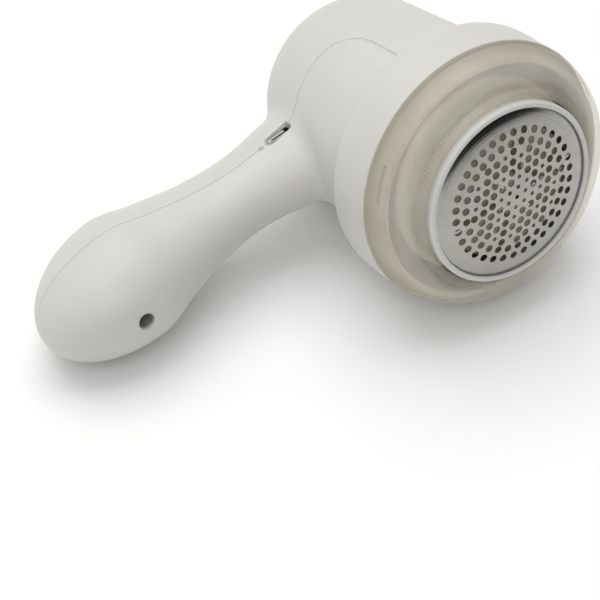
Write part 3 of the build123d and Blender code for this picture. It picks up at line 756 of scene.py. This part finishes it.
def make_materials():
    """One material for each of the record's slots."""
    return {
        "shell_plastic": plastic("shell_plastic", (0.60, 0.588, 0.55), 0.42,
                                 grain=0.3, grain_height=0.003, peel_height=0.012),
        "cover_plastic": milky_plastic("cover_plastic", COVER_PAINTED_LIGHT_BANDS, 0.16, 0.7),
        "white_plastic": plastic("white_plastic", (0.60, 0.60, 0.575), 0.3, grain_height=0.002),
        "foil_steel": turned_steel("foil_steel", (0.40, 0.388, 0.36), 0.17),
        "inner_plastic": plastic("inner_plastic", (0.78, 0.755, 0.69), 0.45),
        "rotor_plastic": plastic("rotor_plastic", (0.74, 0.66, 0.54), 0.4),
        "black_plastic": plastic("black_plastic", (0.02, 0.02, 0.02), 0.45),
        "blade_steel": metal("blade_steel", (0.55, 0.55, 0.53), 0.28),
        "spring_steel": metal("spring_steel", (0.62, 0.62, 0.61), 0.2),
        "screw_steel": metal("screw_steel", (0.42, 0.42, 0.41), 0.3),
        "can_steel": metal("can_steel", (0.55, 0.55, 0.53), 0.35, brush=(0.3, 6.0)),
        "core_steel": metal("core_steel", (0.2, 0.2, 0.21), 0.5, brush=(0.5, 20.0), height=0.03),
        "magnet": plastic("magnet", (0.04, 0.04, 0.045), 0.6, grain=0.8, grain_height=0.02),
        "brass": metal("brass", (0.72, 0.52, 0.24), 0.3),
        "rubber": plastic("rubber", (0.03, 0.03, 0.03), 0.7, grain=0.5, grain_height=0.01),
        "foam": plastic("foam", (0.08, 0.08, 0.085), 0.9, grain=0.9, grain_height=0.15),
        "board": plastic("board", (0.015, 0.12, 0.045), 0.35, grain=1.2, grain_height=0.01),
        "chip": plastic("chip", (0.02, 0.02, 0.022), 0.5),
        "socket_steel": metal("socket_steel", (0.66, 0.66, 0.64), 0.25),
        "light": plastic("light", (0.8, 0.82, 0.78), 0.2, Transmission_Weight=0.5),
        "cell_wrap": plastic("cell_wrap", (0.02, 0.09, 0.26), 0.28),
        "nickel": metal("nickel", (0.66, 0.62, 0.56), 0.25),
        "wire_red": plastic("wire_red", (0.45, 0.015, 0.01), 0.35),
        "wire_black": plastic("wire_black", (0.015, 0.015, 0.015), 0.35),
        "wire_blue": plastic("wire_blue", (0.01, 0.04, 0.3), 0.35),
    }


def dress(obj, material):
    """The material on every face of an object."""
    obj.data.materials.clear()
    obj.data.materials.append(material)


def finish_piece(obj, name, body, slot, *nodes, sharp=30):
    """Lays a piece into the frame and gives it its body, finish and the CAD nodes it stands for."""
    obj.name = name
    obj.data.name = name
    obj.data.transform(DESIGN)
    obj.data.polygons.foreach_set("use_smooth", [True] * len(obj.data.polygons))
    obj.data.set_sharp_from_angle(angle=radians(sharp))
    dress(obj, MATERIALS[slot])
    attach(obj, body)
    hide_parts(*nodes)
    return obj


MATERIALS = make_materials()
for node in frame["nodes"].values():
    for place in node.material_slots:
        place.material = MATERIALS[place.material.name.split(".")[0]]


# ---------------------------------------------------------------- shells and power button

UP = Vector((0, 0, 1))
BACK = Vector((0, 1, 0))


def opening_tools(tree, button_place):
    """Tools that cut the openings for the socket, light, screw and button."""
    recess_place = (-RECESS_REACH, handle_y(RECESS_REACH), 0)
    button_hole = slot_outline(BUTTON[0] + 2 * BUTTON_GAP, BUTTON[1] + 2 * BUTTON_GAP,
                               BUTTON[1] / 2 + BUTTON_GAP - 0.01)
    return [
        opening_tool("port_tool", tree, (-PORT_REACH, PARTING_Y, 0), UP, BACK,
                     slot_outline(*PORT, PORT_CORNER), PORT_DEPTH, PORT_EDGE),
        opening_tool("light_tool", tree, (-LIGHT_REACH, PARTING_Y, 0), UP, BACK,
                     round_outline(LIGHT_R), LIGHT_DEPTH, LIGHT_EDGE),
        opening_tool("recess_tool", tree, recess_place, -BACK, UP,
                     round_outline(RECESS_R), RECESS_DEPTH, RECESS_EDGE),
        opening_tool("button_tool", tree, button_place, BACK, UP,
                     button_hole, BUTTON_DEPTH, BUTTON_EDGE),
    ]


def bell_rim():
    """Tool that rounds the edge of the bell's front."""
    curve = [(BELL_R + 0.02 - BELL_EDGE * (1 - sin(t)), BELL_FRONT + BELL_EDGE * (1 - cos(t)))
             for t in np.linspace(0, pi / 2, 6)]
    return turned("rim", [(BELL_R - BELL_EDGE, BELL_FRONT - 1)] + curve
                  + [(BELL_R + 1, BELL_FRONT + BELL_EDGE), (BELL_R + 1, BELL_FRONT - 1)])


def make_button(tree, place):
    """Button's pad, on the CAD button's flange."""
    button = pad("button", tree, place, BACK, UP, slot_outline(*BUTTON, BUTTON[1] / 2 - 0.01),
                 PAD_BASE, PAD_PROUD, PAD_EDGE, PAD_DISH)
    flange = cad_copy("power_button", "button_inside")
    below = prism("below", [(-80, 50), (-30, 50), (-30, FLANGE_TOP), (-80, FLANGE_TOP)], -20, 20)
    combine(flange, below, "INTERSECT")
    combine(button, flange, "UNION")
    finish_piece(button, "power_button_pad", "button", "shell_plastic", "power_button")
    remove(flange, below)


def make_shells():
    """Both shells: a smooth skin from the form, on the inner half of the CAD shells."""
    form, points, out = outer_form()
    body = moved_form(form, points, "body")
    tree = BVHTree.FromPolygons([tuple(p) for p in points],
                                [tuple(f.vertices) for f in body.data.polygons])
    inner = moved_form(form, points - out * INNER_HALF, "inner")
    cavity = moved_form(form, points - out * SKIN, "cavity")
    under_seam = moved_form(form, points - out * SEAM_DEPTH, "under_seam")

    behind_rim = turned("behind_rim",
                        [(0, BELL_FRONT), (60, BELL_FRONT), (130, 20), (130, 100), (0, 100)], 64)
    combine(body, behind_rim, "INTERSECT")
    combine(body, cavity, "DIFFERENCE")
    rim = bell_rim()
    combine(body, rim, "DIFFERENCE")

    path = parting_path()
    region = prism("region", path + [(-130, -10), (60, -10)], -70, 70)
    groove = offset_path(path, SEAM_WIDTH / 2) + offset_path(path, -SEAM_WIDTH / 2)[::-1]
    seam = prism("seam", groove, -70, 70)
    combine(seam, under_seam, "DIFFERENCE")

    button_place = (-BUTTON_REACH, handle_y(BUTTON_REACH), 0)
    tools = opening_tools(tree, button_place) + [seam]
    for name, node, side in (("front_shell_skin", "front_shell", "INTERSECT"),
                             ("rear_shell_skin", "rear_shell", "DIFFERENCE")):
        shell = copy_of(body, name)
        combine(shell, region, side)
        inside = cad_copy(node, node + "_inside")
        combine(inside, inner, "INTERSECT")
        combine(shell, inside, "UNION")
        for tool in tools:
            combine(shell, tool, "DIFFERENCE")
        finish_piece(shell, name, "housing", "shell_plastic", node)
        remove(inside)
    make_button(tree, button_place)
    remove(form, body, inner, cavity, under_seam, behind_rim, rim, region, *tools)


make_shells()


# ---------------------------------------------------------------- foil ring and lint cover

def make_foil_ring():
    """White ring with soft finger ribs on two sides."""
    profile = rounded(
        [(FOIL_R + 0.02, 0), (FOIL_R + 0.04, RING_FRONT), (RING_FACE_R, RING_FRONT),
         (RING_R, RING_SHOULDER), (RING_R, RIB_SPAN[0]), (RING_R, RIB_SPAN[1]), (RING_R, RING_REAR),
         (RING_BORE, RING_REAR), (RING_BORE, 0)],
        (0.05, 0.3, 0.5, 0.5, 0, 0, 0.25, 0.2, 0.1), 7)
    inside = [(r, y) for r, y in profile if not (r == RING_R and RIB_SPAN[0] <= y <= RIB_SPAN[1])]
    wall = [(RING_R, y) for y in np.linspace(*RIB_SPAN, 14)]
    start = next(i for i, (r, y) in enumerate(inside) if r >= RING_R - 1e-6 and y > RIB_SPAN[1] - 0.3)
    profile = inside[:start] + wall + inside[start:]

    def ribs(angle, r, y):
        if r < RING_R - 0.01 or not RIB_SPAN[0] <= y <= RIB_SPAN[1]:
            return 0.0
        for side in RIB_MIDDLES:
            if abs(angle - side) <= RIB_SECTOR / 2:
                end = min(y - RIB_SPAN[0], RIB_SPAN[1] - y) / RIB_END
                crest = cos(pi * (angle - side) / RIB_PITCH) ** 2
                return RIB_H * crest * min(1.0, sqrt(max(end, 0)))
        return 0.0

    ring = turned("ring", profile, 1028, ribs)
    finish_piece(ring, "foil_ring_turned", "foil_ring", "white_plastic", "foil_ring", sharp=50)


def make_lint_cover():
    """Smoky cover with a raised lip round the foil ring."""
    bead = (COVER_R - 0.5, COVER_REAR - COVER_BEAD)
    edge_r = COVER_R - 0.02
    inner_rear = (COVER_R - COVER_T, COVER_REAR)
    outside = smooth_curve(COVER_FACE + [bead], (1, 0.18), (0.06, 1), 12)
    inside = smooth_curve([inner_rear] + COVER_INSIDE, (0, -1), (-1, -0.42), 10)
    lip = rounded([(COVER_OPENING, LIP_REAR), (COVER_OPENING, LIP_FRONT), (LIP_R, LIP_FRONT), LIP_FOOT,
                   COVER_FACE[0]], (0, 0.6, 0.7, 0.5, 0), 8)
    edge = rounded([bead, (edge_r, bead[1] + 0.2), (edge_r, COVER_REAR - 0.02), inner_rear],
                   (0, 0.2, 0.3, 0), 5)
    profile = lip[:-1] + outside[:-1] + edge[:-1] + inside
    cover = turned("cover", profile, 256)
    finish_piece(cover, "lint_cover_moulded", "lint_cover", "cover_plastic", "lint_cover", sharp=45)


def make_blade_spring():
    """Spring with closed ends behind the blades."""
    closed = 2 * SPRING_WIRE_R + 0.05
    pitch = (SPRING_SPAN[1] - SPRING_SPAN[0] - 2 * closed) / SPRING_TURNS
    rings = []
    for turn in np.linspace(0, SPRING_TURNS + 2, (SPRING_TURNS + 2) * 48 + 1):
        y = SPRING_SPAN[0] + closed * min(turn, 1) + pitch * min(max(turn - 1, 0), SPRING_TURNS)
        y += closed * max(turn - 1 - SPRING_TURNS, 0)
        rings.append([around(360 * turn, SPRING_R + SPRING_WIRE_R * cos(t), y + SPRING_WIRE_R * sin(t))
                      for t in np.linspace(0, 2 * pi, 12, endpoint=False)])
    spring = loft("spring", rings)
    finish_piece(spring, "blade_spring_coil", "rotor", "spring_steel", "blade_spring")
    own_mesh(spring)


make_foil_ring()
make_lint_cover()
make_blade_spring()


# ---------------------------------------------------------------- floor, light and camera

def make_floor():
    """Near-white floor under the shaver, for the renders only."""
    look = Look("floor", (0.93, 0.93, 0.925), 0.85)
    look.tint(look.mixed(look.ranged(look.noise(180, 3), "Fac", 0, 1), "Result",
                         (0.92, 0.92, 0.915), (0.94, 0.94, 0.935)))
    look.bump(look.noise(2.0, 2), "Fac", 0.02)
    half = FLOOR_HALF
    floor = mesh_object("floor", [(-half, -half, 0), (half, -half, 0), (half, half, 0), (-half, half, 0)],
                        [(0, 1, 2, 3)])
    dress(floor, look.material)


def soft_light(name, direction, distance, size, power):
    """Square soft box that faces the shaver's middle."""
    light = bpy.data.lights.new(name, "AREA")
    light.shape = "SQUARE"
    light.size = size
    light.energy = power
    lamp = bpy.data.objects.new(name, light)
    bpy.context.scene.collection.objects.link(lamp)
    way = Vector(direction).normalized()
    middle = (cad_box[0] + cad_box[1]) / 2
    lamp.location = middle + way * distance
    lamp.rotation_euler = way.to_track_quat("Z", "Y").to_euler()


def make_camera():
    """Camera that sees the shaver as the photograph shows it."""
    azimuth, elevation, roll = radians(AZIMUTH), radians(ELEVATION), radians(ROLL)
    back = Vector((sin(azimuth) * cos(elevation), -cos(azimuth) * cos(elevation), sin(elevation)))
    right = Vector((cos(azimuth), sin(azimuth), 0))
    up = back.cross(right)
    tilted_right = right * cos(roll) + up * sin(roll)
    tilted_up = up * cos(roll) - right * sin(roll)
    data = bpy.data.cameras.new("camera")
    data.lens = LENS
    data.sensor_width = SENSOR
    data.clip_start = CLIP_START
    camera = bpy.data.objects.new("camera", data)
    bpy.context.scene.collection.objects.link(camera)
    turn = Matrix((tilted_right, tilted_up, back)).transposed().to_4x4()
    camera.matrix_world = Matrix.Translation(CAMERA_PLACE) @ turn
    bpy.context.scene.camera = camera


def make_surroundings():
    """Pale walls with one dark side, and two soft boxes."""
    world = bpy.data.worlds.new("studio")
    world.use_nodes = True
    tree = world.node_tree
    background = tree.nodes["Background"]
    background.inputs["Color"].default_value = (1, 1, 1, 1)
    direction = tree.nodes.new("ShaderNodeTexCoord")
    towards = tree.nodes.new("ShaderNodeVectorMath")
    towards.operation = "DOT_PRODUCT"
    towards.inputs[1].default_value = Vector(DARK_WALL).normalized()
    fall = tree.nodes.new("ShaderNodeMapRange")
    fall.interpolation_type = "SMOOTHSTEP"
    for socket, value in (("From Min", DARK_FALL[0]), ("From Max", DARK_FALL[1]),
                          ("To Min", WORLD_LIGHT), ("To Max", DARK_LIGHT)):
        fall.inputs[socket].default_value = value
    tree.links.new(direction.outputs["Generated"], towards.inputs[0])
    tree.links.new(towards.outputs["Value"], fall.inputs["Value"])
    tree.links.new(fall.outputs["Result"], background.inputs["Strength"])
    bpy.context.scene.world = world
    bpy.context.scene.view_settings.view_transform = "Standard"
    soft_light("key", **KEY)
    soft_light("front", **FILL)


make_floor()
make_surroundings()
make_camera()
